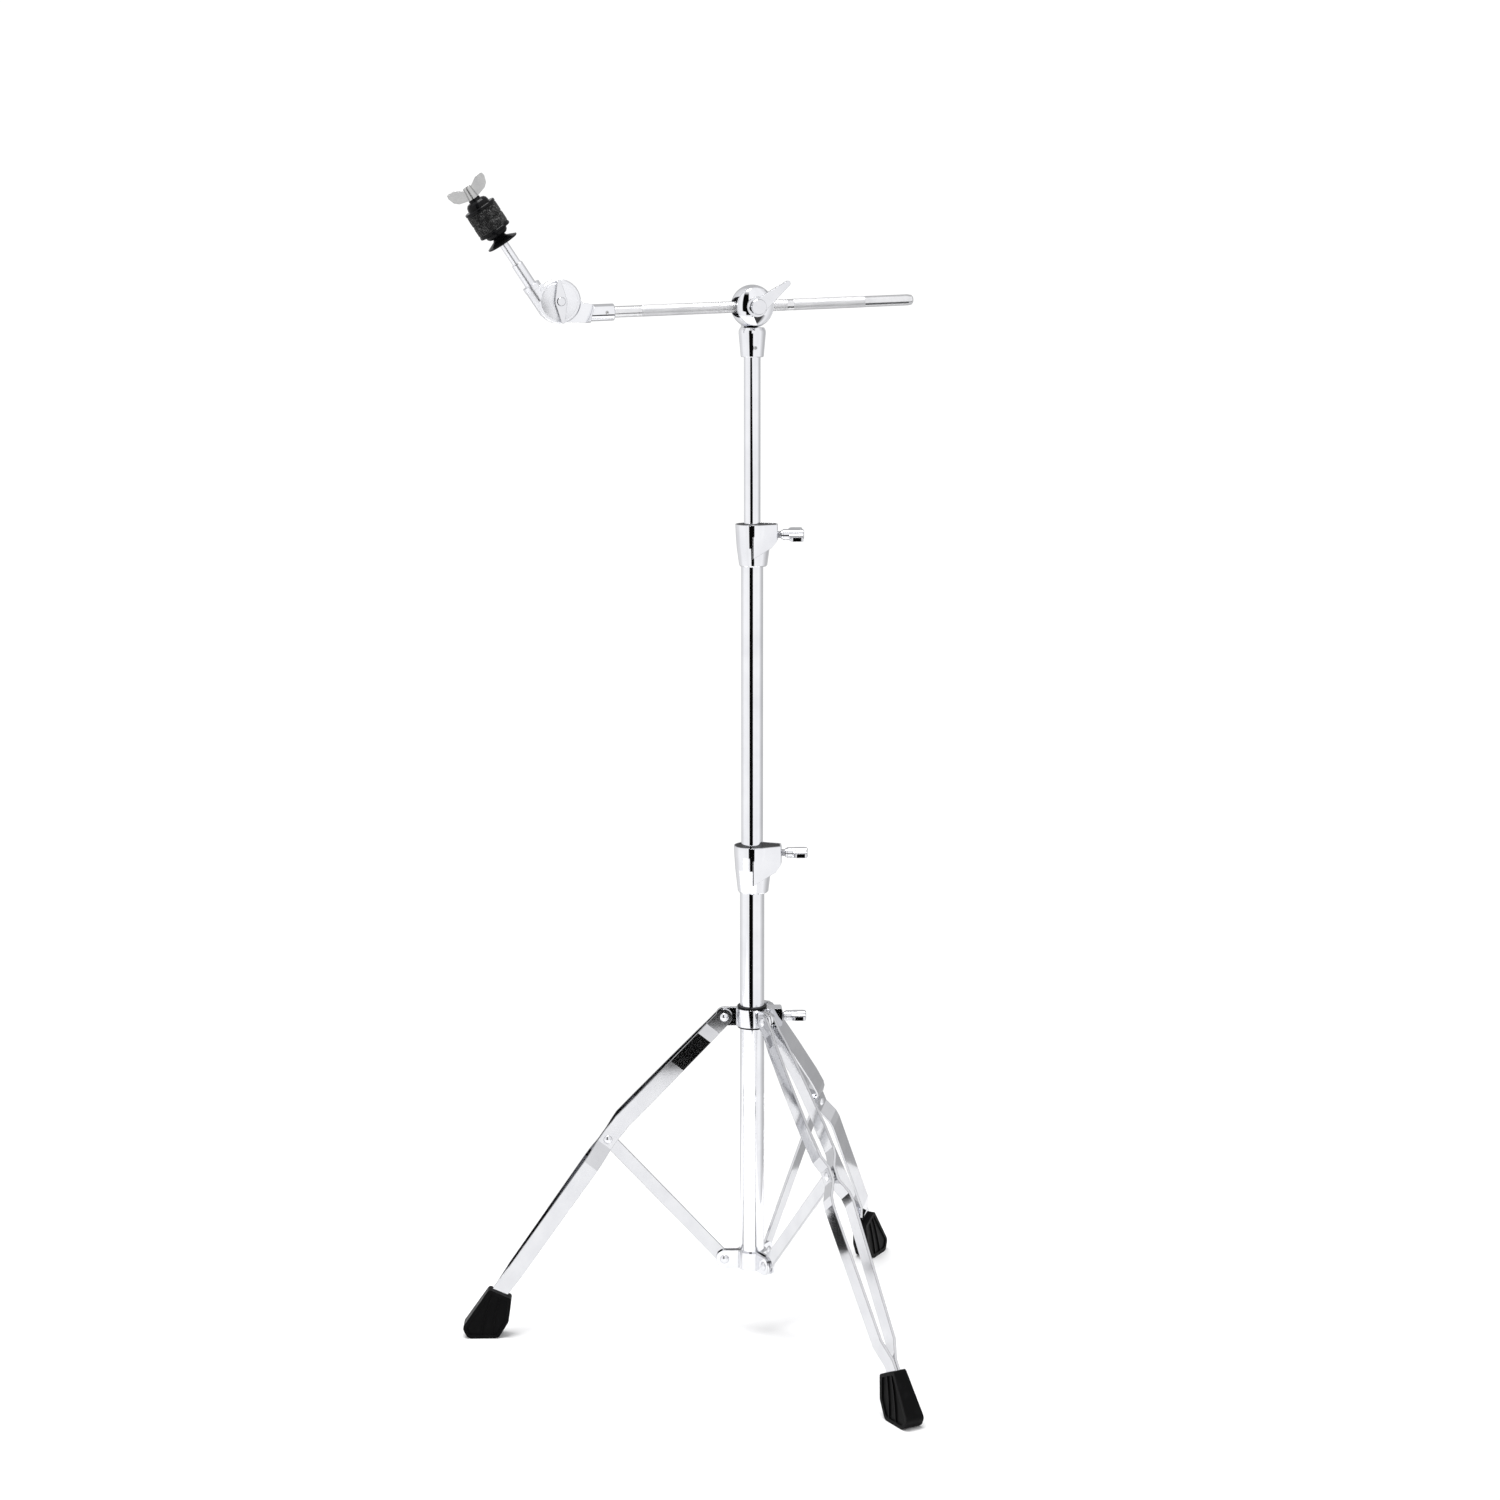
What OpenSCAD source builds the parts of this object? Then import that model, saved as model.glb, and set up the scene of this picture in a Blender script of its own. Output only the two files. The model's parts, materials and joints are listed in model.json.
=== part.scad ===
// Cymbal boom stand: a folding tripod, two telescoping tubes, a tilting boom and a tilting cymbal seat.
// The origin is on the floor under the tubes' axis. +Z is up and +X runs along the boom to its tail.

/* [Tubes] */
// Outer diameter of the base tube
base_d = 28.6; // [28.4:0.1:28.8]
// Outer diameter of the middle tube
mid_d = 25.4; // [25.2:0.1:25.6]
// Outer diameter of the upper tube
upper_d = 19.05; // [18.6:0.05:19.4]
// Wall of the three tubes
wall = 1.3; // [1.2:0.1:1.3]
// Height of the lower clamp collar's foot
lower_clamp_z = 543.2; // [535:1:550]
// Height of the upper clamp collar's foot
upper_clamp_z = 926.1; // [900:1:950]
// Height of the boom neck's foot
neck_z = 1164.4; // [1150:1:1180]

/* [Tripod] */
// Distance of the leg and brace pivots from the tubes' axis
pivot_r = 33; // [32:0.5:34]
// Height of the braces' lower pivots
hub_z = 94.5; // [92:0.5:100]
// Length of a brace, and of a leg's upper link, between pivots
link = 203.3; // [198:0.1:208]
// Angle between a brace and the tubes' axis
spread = 42.73; // [40:0.1:45]
// Angle between a leg's lower part and the tubes' axis
leg_tilt = 34.7; // [34:0.1:36]
// Width of a leg bar
bar_w = 19; // [18:0.5:20]
// Thickness of a leg bar
bar_t = 3.2; // [3:0.1:3.4]
// Width of a brace
brace_w = 15.4; // [14:0.1:16]
// Thickness of a brace
brace_t = 3.2; // [3:0.1:3.4]

/* [Boom] */
// Diameter of the boom rod
boom_d = 12.7; // [12.5:0.1:12.8]
// Distance of the boom's tail from the ball's centre
boom_tail = 190.2; // [170:1:200]
// Rise of the boom towards its tail, in degrees
boom_pitch = 1.85; // [0:0.05:3]
// Height of the ball's centre
ball_z = 1221.4; // [1221:0.1:1222]
// Radius of the ball
ball_r = 24.3; // [24:0.1:24.5]

/* [Cymbal seat] */
// Lean of the stem from upright, away from the boom
stem_tilt = 33.5; // [20:0.5:50]
// Diameter of the stem
stem_d = 10; // [9.6:0.1:11]
// Diameter of the two felts
felt_d = 36.4; // [35:0.1:37]
// Thickness of one felt
felt_h = 12.6; // [12:0.1:13]

/* [Hidden] */
$fn = 64;
FIT = 0.05;
TOUCH = 0.02;
ARC = 8;

base_r = base_d / 2;
mid_r = mid_d / 2;
upper_r = upper_d / 2;
boom_r = boom_d / 2;
base_bottom = 86.4;

leg_azimuth = [166.4, 286.4, 46.4];
screw_azimuth = -13;

plate_t = 3;
plate_h = 21.5;
ear_r = 10;
rivet_r = 3;
rivet_head_r = 5.25;
rivet_head_h = 2.4;
collar_z = hub_z + 2 * link * cos(spread);
collar_plate_r = 16;
collar_ear_in = 0.3;
hub_ear_in = brace_t / 2 + 0.3;
collar_bar_in = collar_ear_in + plate_t + 0.3;
knee_bar_in = brace_t / 2 + 0.3;

knee_r = pivot_r + link * sin(spread);
knee_z = hub_z + link * cos(spread);
bend_above_knee = 30;
leg_below_knee = 250;

lower_clamp_h = 55.6;
upper_clamp_h = 48.4;
pocket_share = 0.48;
mid_bottom = 432;
upper_bottom = 800;
neck_top = 1197.6;

ferrule_x = -160.3;
flange_x = -187.9;
hinge = [-223.8, 0, 1228.6];
disc_r = 24.6;
sleeve_offset = 15.4;
sleeve_r = 6.4;
sleeve_top = 59.7;
socket_top = 31.8;

thread_r = 3.95;
seat_z = 86.8;
cup_z = seat_z + 8.6;
felt_z = cup_z + 9.9;
top_cup_z = felt_z + 2 * felt_h;
wing_nut_z = top_cup_z + 14.1;
stem_top = top_cup_z + 27.5;

chrome = [0.86, 0.87, 0.88];
steel = [0.7, 0.71, 0.72];
nylon = [0.05, 0.05, 0.055];
rubber = [0.07, 0.07, 0.07];
felt = [0.17, 0.17, 0.17];

// ---------- outlines ----------

function turn_left(v) = [-v.y, v.x] / norm(v);

// Point i of a path, moved sideways by d with mitred corners
function beside(path, i, d) =
    let (
        last = len(path) - 1,
        a = turn_left(path[max(i, 1)] - path[max(i, 1) - 1]),
        b = turn_left(path[min(i, last - 1) + 1] - path[min(i, last - 1)])
    )
    path[i] + d * (a + b) / (1 + a * b);

// Outline of the strip between two sideways distances from a path
function ribbon(path, near, far) = concat(
    [for (i = [0 : len(path) - 1]) beside(path, i, near)],
    [for (i = [len(path) - 1 : -1 : 0]) beside(path, i, far)]
);

// Outline of two circles, one at the origin and one at distance d along X, and their outer tangents
function two_circles(r1, r2, d, n = ARC) =
    let (a = acos((r1 - r2) / d))
    concat(
        [for (i = [0 : 2 * n]) let (t = a + (360 - 2 * a) * i / (2 * n)) r1 * [cos(t), sin(t)]],
        [for (i = [0 : 2 * n]) let (t = -a + 2 * a * i / (2 * n)) [d + r2 * cos(t), r2 * sin(t)]]
    );

// An outline whose corner i is rounded with radius radii[i]
function rounded(points, radii, n = ARC) = [
    for (i = [0 : len(points) - 1])
        let (
            count = len(points),
            u = points[(i + count - 1) % count] - points[i],
            v = points[(i + 1) % count] - points[i],
            a = u / norm(u),
            b = v / norm(v),
            half = acos(a * b) / 2,
            r = radii[i],
            centre = points[i] + (a + b) / norm(a + b) * r / sin(half),
            start = points[i] + a * r / tan(half) - centre,
            stop = points[i] + b * r / tan(half) - centre,
            from = atan2(start.y, start.x),
            swing = (atan2(stop.y, stop.x) - from + 540) % 360 - 180
        )
        for (k = [0 : r > 0 ? n : 0])
            r > 0 ? centre + r * [cos(from + swing * k / n), sin(from + swing * k / n)] : points[i]
];

// A curve with parabolic shape between two points, bulging sideways by sag
function bowed(p, q, sag, n = ARC) = [
    for (i = [0 : n])
        let (t = i / n)
        p + (q - p) * t + turn_left(q - p) * sag * 4 * t * (1 - t)
];

// A point of the plan, turned to the next leg
function turned(p) = [p.x * cos(120) - p.y * sin(120), p.x * sin(120) + p.y * cos(120)];

// ---------- placing ----------

// Draws an outline of [X, Z] points with its thickness along Y
module upright(y0, y1) {
    translate([0, y1, 0]) rotate([90, 0, 0]) linear_extrude(y1 - y0) children();
}

// A cylinder or cone along +X from x0
module rod_x(x0, x1, r, r_end = undef) {
    translate([x0, 0, 0]) rotate([0, 90, 0]) cylinder(h = x1 - x0, r1 = r, r2 = is_undef(r_end) ? r : r_end);
}

// A cylinder or cone along +Y from y0
module rod_y(y0, y1, r, r_end = undef) {
    translate([0, y0, 0]) rotate([-90, 0, 0]) cylinder(h = y1 - y0, r1 = r, r2 = is_undef(r_end) ? r : r_end);
}

module tube(z0, z1, r) {
    difference() {
        translate([0, 0, z0]) cylinder(h = z1 - z0, r = r);
        translate([0, 0, z0 - 1]) cylinder(h = z1 - z0 + 2, r = r - wall);
    }
}

module at_leg(i) {
    rotate([0, 0, leg_azimuth[i]]) children();
}

module at_screw(z) {
    rotate([0, 0, screw_azimuth]) translate([0, 0, z]) children();
}

module at_boom() {
    translate([0, 0, ball_z]) rotate([0, -boom_pitch, 0]) children();
}

// The stem's frame: +Z runs up the stem, +X is to its right, and the origin is on the tilter's hinge
module at_stem() {
    translate(hinge) rotate([0, -stem_tilt, 0]) children();
}

module on_stem_axis(z = 0) {
    at_stem() translate([-sleeve_offset, 0, z]) children();
}

// ---------- parts used more than once ----------

// A rivet along Y with a domed head at each end of its shank
module rivet(half_length) {
    dome_r = (rivet_head_r * rivet_head_r + rivet_head_h * rivet_head_h) / (2 * rivet_head_h);
    rod_y(-half_length, half_length, rivet_r);
    for (side = [0, 180])
        rotate([0, 0, side])
            intersection() {
                translate([0, half_length + rivet_head_h - dome_r, 0]) sphere(r = dome_r);
                rod_y(half_length, half_length + rivet_head_h + 1, dome_r);
            }
}

// A stamped plate round the tube: an ear along one leg, a curved middle and an ear along the next leg
module stamped_plate(i, z, inner_r, ear_in) {
    outer_r = inner_r + plate_t;
    ear_out = ear_in + plate_t;
    far = 60;
    at_leg(i)
        difference() {
            union() {
                intersection() {
                    translate([0, 0, z - plate_h / 2]) cylinder(h = plate_h, r = outer_r);
                    translate([0, 0, z - plate_h / 2])
                        linear_extrude(plate_h)
                            polygon([
                                [0, ear_in], [far, ear_in], far * [cos(60), sin(60)],
                                turned([far, -ear_in]), turned([0, -ear_in])
                            ]);
                }
                plate_ear(z, ear_in, ear_out);
                rotate([0, 0, 120]) plate_ear(z, -ear_out, -ear_in);
            }
            translate([0, 0, z - plate_h]) cylinder(h = 2 * plate_h, r = inner_r);
            ear_hole(z);
            rotate([0, 0, 120]) ear_hole(z);
        }
}

module plate_ear(z, y0, y1) {
    half = plate_h / 2;
    root = 10;
    end = pivot_r + ear_r;
    translate([0, 0, z])
        upright(y0, y1)
            polygon(rounded(
                [[root, -half], [end, -half], [end, half], [root, half]],
                [0, ear_r - 0.5, ear_r - 0.5, 0]
            ));
}

module ear_hole(z) {
    translate([pivot_r, 0, z]) rod_y(-12, 12, rivet_r + TOUCH);
}

// Stations along a leg, measured from the collar pivot, with the bar's inner face at each
function along_chord(p) = (p - leg_start) * chord_dir;
leg_start = [pivot_r, collar_z];
knee = [knee_r, knee_z];
lower_dir = [sin(leg_tilt), -cos(leg_tilt)];
bend = knee - bend_above_knee * lower_dir;
leg_end = knee + leg_below_knee * lower_dir;
chord_dir = (leg_end - leg_start) / norm(leg_end - leg_start);
chord_tilt = atan2(chord_dir.x, -chord_dir.y);
upper_dir = (bend - leg_start) / norm(bend - leg_start);
leg_faces = [
    [along_chord(leg_start - 12 * upper_dir), collar_bar_in],
    [along_chord(leg_start + 19 * upper_dir), collar_bar_in],
    [along_chord(leg_start + 34 * upper_dir), 5.6],
    [along_chord(leg_start + 80 * upper_dir), 8],
    [along_chord(leg_start + 145 * upper_dir), 9.8],
    [along_chord(bend), 9],
    [along_chord(knee - 22 * lower_dir), 8],
    [along_chord(knee - 8.5 * lower_dir), knee_bar_in],
    [along_chord(knee + 8.5 * lower_dir), knee_bar_in],
    [along_chord(knee + 26 * lower_dir), 10.6],
    [along_chord(knee + 36 * lower_dir), 12.1],
    [along_chord(knee + 197 * lower_dir), 7.2],
    [along_chord(knee + 221 * lower_dir), 0.2],
    [along_chord(leg_end), 0.2]
];

// One of a leg's two bars: its face outline and its bent edge, crossed
module leg_bar(i, side) {
    at_leg(i)
        scale([1, side, 1])
            difference() {
                intersection() {
                    upright(-40, 40)
                        union() {
                            polygon(ribbon([leg_start, bend, leg_end], -bar_w / 2, bar_w / 2));
                            translate(leg_start) circle(r = bar_w / 2);
                        }
                    translate([leg_start.x, 0, leg_start.y])
                        rotate([0, -chord_tilt, 0])
                            rotate([90, 0, 90])
                                translate([0, 0, -60])
                                    linear_extrude(120)
                                        polygon(ribbon([for (s = leg_faces) [s.y, -s.x]], 0, bar_t));
                }
                translate([leg_start.x, 0, leg_start.y]) rod_y(-20, 20, rivet_r + FIT);
                translate([knee.x, 0, knee.y]) rod_y(-20, 20, rivet_r + TOUCH);
            }
}

module brace(i) {
    color(chrome)
        at_leg(i)
            translate([pivot_r, 0, hub_z])
                rotate([0, spread - 90, 0])
                    difference() {
                        union() {
                            rod_y(-brace_t / 2, brace_t / 2, brace_w / 2);
                            translate([link, 0, 0]) rod_y(-brace_t / 2, brace_t / 2, brace_w / 2);
                            translate([0, -brace_t / 2, -brace_w / 2]) cube([link, brace_t, brace_w]);
                        }
                        rod_y(-5, 5, rivet_r + FIT);
                        translate([link, 0, 0]) rod_y(-5, 5, rivet_r + FIT);
                    }
}

module knee_rivet(i) {
    color(chrome) at_leg(i) translate([knee.x, 0, knee.y]) rivet(knee_bar_in + bar_t);
}

// A rubber foot with a flat sole. It widens downwards, and each side has a rim and two curved ribs
module foot(i) {
    top_half = 8;
    sole_half = 12.4;
    top = 59.8;
    recess = 1.6;
    outline = [[314.6, top], [287.8, 47.8], [291.5, 20], [304, 0], [340, 0], [347, 13]];
    panel = [[312.6, 54.8], [292.8, 45.6], [295.8, 21], [305.6, 4.5], [338, 4.5], [342.6, 13.4]];
    lean = atan((sole_half - top_half) / top);
    front = [[-sole_half, 0], [-top_half, top], [top_half, top], [sole_half, 0]];
    color(rubber)
        at_leg(i)
            difference() {
                intersection() {
                    upright(-sole_half, sole_half) polygon(rounded(outline, [4, 4, 12, 9, 9, 7]));
                    translate([250, 0, 0]) rotate([90, 0, 90]) linear_extrude(150) polygon(front);
                }
                for (side = [0, 1])
                    mirror([0, side, 0])
                        translate([0, sole_half, 0])
                            rotate([lean, 0, 0])
                                upright(-recess, 6)
                                    difference() {
                                        polygon(rounded(panel, [1.5, 1.5, 8, 6, 6, 4]));
                                        polygon(ribbon(bowed([307.5, 58], [325, 2], 2.2), -0.7, 0.7));
                                        polygon(ribbon(bowed([300, 55], [311.5, 2], 1.6), -0.7, 0.7));
                                    }
                translate([knee.x, 0, knee.y])
                    rotate([0, -leg_tilt, 0])
                        translate([-bar_w / 2 - FIT, -bar_t - 0.3, -leg_below_knee - 0.3])
                            cube([bar_w + 2 * FIT, 2 * bar_t + 0.6, 60]);
            }
}

// A die-cast clamp collar with a boss for its wing screw; local Z starts at its foot
module clamp_collar(radii, heights, reach, tube_r, screw_drop, pocket_r) {
    height = heights[3];
    shift = 1.2;
    top_floor = height - 3;
    color(chrome)
        difference() {
            union() {
                translate([shift, 0, 0])
                    rotate_extrude()
                        polygon([
                            [0, 0], [radii[0] - 1.2, 0], [radii[0], 1.5], [radii[1], heights[1]],
                            [radii[2], heights[2]], [radii[3], height], [0, height]
                        ]);
                intersection() {
                    linear_extrude(height) polygon(collar_plan(radii[3] - 0.6, reach));
                    upright(-30, 30)
                        polygon([
                            [0, height], [reach, height], [reach, height * 0.66], [reach - 1.5, height * 0.6],
                            [reach - 7, height * 0.46], [0, height * 0.2]
                        ]);
                }
            }
            translate([0, 0, top_floor])
                linear_extrude(4)
                    polygon(collar_plan(radii[3] - 2.2, reach - 1.8, 8.4, 3));
            translate([0, 0, -1]) cylinder(h = height, r = tube_r + TOUCH);
            translate([0, 0, height * pocket_share]) cylinder(h = height, r = pocket_r + TOUCH);
            translate([0, 0, height - screw_drop]) rod_x(0, reach + 5, thread_r + FIT);
        }
}

// Plan of a collar with its boss: a ring, and straight sides that run to a square end with round corners
function collar_plan(r, reach, half = 10, corner = 4) =
    let (a = atan2(half, reach) + acos(r / norm([reach, half])))
    rounded(
        concat(
            [[reach, -half], [reach, half]],
            [for (i = [0 : 24]) let (t = a + (360 - 2 * a) * i / 24) r * [cos(t), sin(t)]]
        ),
        concat([corner, corner], [for (i = [0 : 24]) 0]), 5
    );

// A nylon bushing inside a collar: a cover with the collar's plan and a sleeve round the sliding tube
module clamp_bushing(top_r, height, reach, sleeve_r, bore_r, screw_drop) {
    color(nylon)
        difference() {
            union() {
                translate([0, 0, height - 3 + TOUCH])
                    linear_extrude(3 - 0.4) polygon(collar_plan(top_r - 2.25, reach - 1.85, 8.35, 3));
                translate([0, 0, height * pocket_share + TOUCH])
                    cylinder(h = height * (1 - pocket_share) - 2, r = sleeve_r);
            }
            cylinder(h = 2 * height, r = bore_r);
            translate([0, 0, height - screw_drop]) rod_x(0, 40, thread_r + FIT);
        }
}

module clamp_shoe(tube_r, outer) {
    color(steel)
        difference() {
            rod_x(0, outer, thread_r);
            cylinder(h = 30, r = tube_r + 0.12, center = true);
        }
}

// A wing screw along +X: threaded shank, turned hub and two cast wings, turned by twist
module wing_screw(tip, face, stand_off, twist) {
    hub = face + stand_off;
    hub_length = 26;
    wing_t = 4.8;
    span = 20;
    color(chrome) {
        rod_x(tip, hub + 1, thread_r);
        rod_x(hub, hub + 2, 5.3);
        rod_x(hub + 2, hub + hub_length - 1.4, 6.3);
        rod_x(hub + hub_length - 1.4, hub + hub_length, 6.3, 5);
        rotate([twist, 0, 0])
            for (side = [-1, 1])
                scale([1, side, 1])
                    translate([0, 0, -wing_t / 2])
                        linear_extrude(wing_t)
                            polygon(rounded(
                                [
                                    [hub + 8, 0], [hub + 9, span - 4], [hub + 11.5, span],
                                    [hub + 24.5, span], [hub + 25, 0]
                                ],
                                [0, 2.5, 2.5, 2.5, 0], 5
                            ));
    }
}

// A black nylon glide that plugs a tube's lower end
module glide(z, flange_r, spigot_r) {
    color(nylon)
        difference() {
            union() {
                translate([0, 0, z - 8]) cylinder(h = 7.9, r = flange_r);
                translate([0, 0, z - 1]) cylinder(h = 15, r = spigot_r);
            }
            translate([0, 0, z - 10]) cylinder(h = 30, r = spigot_r - 2.5);
        }
}

module set_screw_y(y0, y1, r) {
    difference() {
        rod_y(y0, y1, r);
        rod_y(y0 - 0.5, y0 + 1.2, r * 0.5, r * 0.5, $fn = 6);
    }
}

// ---------- base tube, hub and lower clamp ----------

module base_tube() {
    color(chrome) tube(base_bottom, lower_clamp_z + lower_clamp_h * pocket_share - 0.1, base_r);
}

module base_end_plug() {
    color(nylon) {
        translate([0, 0, base_bottom - 2.6]) cylinder(h = 2.5, r = base_r);
        translate([0, 0, base_bottom - 0.6]) cylinder(h = 12, r = base_r - wall - TOUCH);
    }
}

module hub_plates() {
    color(chrome) for (i = [0 : 2]) stamped_plate(i, hub_z, base_r + TOUCH, hub_ear_in);
}

module hub_rivets() {
    color(chrome)
        for (i = [0 : 2])
            at_leg(i) translate([pivot_r, 0, hub_z]) rivet(hub_ear_in + plate_t);
}

lower_radii = [17.9, 20.9, 22, 22.4];
lower_heights = [0, 28, 44, lower_clamp_h];
upper_radii = [16.2, 19, 20, 20.6];
upper_heights = [0, 22, 36, upper_clamp_h];
lower_reach = 34.2;
upper_reach = 29.2;
lower_drop = 9.3;
upper_drop = 12.2;
lower_sleeve_r = 15.6;
upper_sleeve_r = 13.4;

module lower_clamp_collar() {
    at_screw(lower_clamp_z)
        clamp_collar(lower_radii, lower_heights, lower_reach, base_r, lower_drop, lower_sleeve_r);
}

module lower_clamp_bushing() {
    at_screw(lower_clamp_z)
        clamp_bushing(lower_radii[3], lower_clamp_h, lower_reach, lower_sleeve_r, mid_r + 0.1, lower_drop);
}

module lower_clamp_shoe() {
    at_screw(lower_clamp_z + lower_clamp_h - lower_drop) clamp_shoe(mid_r, 19);
}

module lower_wing_screw() {
    at_screw(lower_clamp_z + lower_clamp_h - lower_drop) wing_screw(19.3, lower_reach, 4.6, 0);
}

// ---------- tripod collar ----------

module collar_plate(i) {
    is_screw_side = i == 1;
    color(chrome)
        difference() {
            stamped_plate(i, collar_z, collar_plate_r, collar_ear_in);
            if (is_screw_side) at_screw(collar_z) rod_x(5, 30, thread_r + FIT);
        }
}

module collar_rivets() {
    color(chrome)
        for (i = [0 : 2])
            at_leg(i) translate([pivot_r, 0, collar_z]) rivet(collar_bar_in + bar_t + 0.1);
}

module collar_liner() {
    flange_t = 2.2;
    color(nylon)
        difference() {
            union() {
                translate([0, 0, collar_z - plate_h / 2 - flange_t])
                    cylinder(h = plate_h + 2 * flange_t, r = collar_plate_r - TOUCH);
                translate([0, 0, collar_z + plate_h / 2 + FIT]) cylinder(h = flange_t, r = 17.3);
                translate([0, 0, collar_z - plate_h / 2 - flange_t - FIT]) cylinder(h = flange_t, r = 17.1);
            }
            translate([0, 0, collar_z - 20]) cylinder(h = 40, r = base_r + 0.1);
            at_screw(collar_z) rod_x(5, 30, thread_r + FIT);
        }
}

block_end = 35.4;

// The tapped block that carries the collar's wing screw
module collar_screw_block() {
    half = plate_h / 2;
    color(chrome)
        at_screw(collar_z)
            difference() {
                upright(-10, 10)
                    polygon(rounded(
                        [[10, -half], [block_end, -half], [block_end, half], [10, half]],
                        [0, 2.5, 2.5, 0], 4
                    ));
                cylinder(h = 40, r = collar_plate_r + plate_t + TOUCH, center = true);
                rod_x(10, 40, thread_r + FIT);
            }
}

module collar_wing_screw() {
    at_screw(collar_z) wing_screw(base_r + 0.35, block_end, 2.2, -3);
}

// ---------- middle and upper tubes ----------

module mid_tube() {
    color(chrome) tube(mid_bottom, upper_clamp_z + upper_clamp_h * pocket_share - 0.1, mid_r);
}

module mid_tube_glide() {
    glide(mid_bottom, mid_r + 0.2, mid_r - wall - FIT);
}

module upper_clamp_collar() {
    at_screw(upper_clamp_z)
        clamp_collar(upper_radii, upper_heights, upper_reach, mid_r, upper_drop, upper_sleeve_r);
}

module upper_clamp_bushing() {
    at_screw(upper_clamp_z)
        clamp_bushing(upper_radii[3], upper_clamp_h, upper_reach, upper_sleeve_r, upper_r + 0.1, upper_drop);
}

module upper_clamp_shoe() {
    at_screw(upper_clamp_z + upper_clamp_h - upper_drop) clamp_shoe(upper_r, 15);
}

module upper_wing_screw() {
    at_screw(upper_clamp_z + upper_clamp_h - upper_drop) wing_screw(15.3, upper_reach, 4.2, 11.7);
}

module upper_tube() {
    color(chrome) tube(upper_bottom, neck_z + 20, upper_r);
}

module upper_tube_glide() {
    glide(upper_bottom, mid_r - wall - 0.1, upper_r - wall - FIT);
}

// ---------- boom clamp ----------

ball_back = 15;
ball_front = -12;
dome_apex = -21.5;
clearance_r = ball_r + 0.4;

// The neck with the arm that rises behind the ball and carries the clamp bolt
module boom_neck() {
    arm_front = ball_back + 0.3;
    arm_back = 23;
    color(chrome)
        difference() {
            union() {
                rotate_extrude()
                    polygon([
                        [0, neck_z], [12.4, neck_z], [13.1, neck_z + 0.8], [15.5, neck_top - 6],
                        [15.2, neck_top - 3], [13.6, neck_top], [0, neck_top]
                    ]);
                rotate([0, 0, 90])
                    upright(-8, 8)
                        polygon([
                            [6, neck_z + 20], [13, neck_z + 20], [arm_back, ball_z - 17],
                            [arm_back, ball_z], [arm_front, ball_z], [6, ball_z - 26]
                        ]);
                translate([0, 0, ball_z]) rod_y(arm_front, arm_back, 16);
            }
            intersection() {
                translate([0, 0, ball_z]) sphere(r = clearance_r);
                translate([-40, -60, ball_z - 40]) cube([80, 60 + arm_front, 80]);
            }
            translate([0, 0, neck_z - 1]) cylinder(h = 21 + TOUCH, r = upper_r + TOUCH);
            translate([0, 0, ball_z]) rod_y(0, 40, 4 + FIT);
            translate([0, 0, neck_z + 10.7]) rod_y(-20, 0, neck_screw_r + TOUCH);
        }
}

neck_screw_r = 1.9;

module neck_set_screw() {
    color(steel) translate([0, 0, neck_z + 10.7]) set_screw_y(-13.4, -upper_r - 0.1, neck_screw_r);
}

// The back of the ball, open to the front and notched on both sides for the boom
module clamp_bowl() {
    color(chrome)
        at_boom()
            difference() {
                intersection() {
                    sphere(r = ball_r);
                    rod_y(ball_front, ball_back, 40);
                }
                rod_y(ball_front - 1, 9.6, 10 + TOUCH);
                rod_y(0, 30, 4 + TOUCH);
                rod_x(-40, 40, 7.6 + FIT);
                for (x = [-28, 8]) translate([x, 0, 0]) boom_notch();
            }
}

// The notch beside the ball's bore, which widens towards the ball's front face
module boom_notch() {
    rotate([90, 0, 90])
        linear_extrude(20)
            polygon([[2, 7.6], [2, -7.6], [-6, -11], [ball_front - 1, -12], [ball_front - 1, 12], [-6, 11]]);
}

module clamp_dome() {
    rim_r = 21.4;
    cap_r = 20.6;
    rise = 7.2;
    dome_r = (cap_r * cap_r + rise * rise) / (2 * rise);
    color(chrome)
        at_boom()
            difference() {
                union() {
                    rod_y(ball_front - 2.2, ball_front - 0.1, rim_r);
                    intersection() {
                        translate([0, ball_front - 2.2 - rise + dome_r, 0]) sphere(r = dome_r);
                        rod_y(-40, ball_front - 1, cap_r);
                    }
                    rod_y(dome_apex, dome_apex + 4, 11);
                }
                rod_y(-40, 0, 4 + FIT);
            }
}

module clamp_washer() {
    color(chrome)
        at_boom()
            difference() {
                rod_y(dome_apex - 2, dome_apex - TOUCH, 11.5);
                rod_y(-40, 0, 4 + FIT);
            }
}

// The clamp bolt: a barrel with a cross bore for the boom, and a threaded end on each side
module clamp_bolt() {
    color(steel)
        at_boom()
            difference() {
                union() {
                    rod_y(ball_front + 1, 9.5, 10);
                    rod_y(-29.6, ball_front + 2, 4);
                    rod_y(9, 28.5, 4);
                }
                rod_x(-20, 20, 7.6 + FIT);
            }
}

module clamp_rear_nut() {
    color(steel)
        at_boom()
            difference() {
                rod_y_hex(23.1, 29, 7.4);
                rod_y(20, 40, 4 + TOUCH);
            }
}

module rod_y_hex(y0, y1, r) {
    translate([0, y0, 0]) rotate([-90, 0, 0]) cylinder(h = y1 - y0, r = r, $fn = 6);
}

// The lever nut that tightens the ball
module boom_lever() {
    tip = 42.8;
    rise = 35.5;
    color(chrome)
        at_boom()
            difference() {
                union() {
                    rod_y(-31.4, -25.5, 8.3, 9.2);
                    rod_y(-25.5, -23.6, 9.2);
                    rotate([0, -rise, 0]) upright(-29, -24.4) polygon(two_circles(8.8, 2.9, tip, 10));
                }
                rod_y(-30, 0, 4 + FIT);
            }
}

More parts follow.
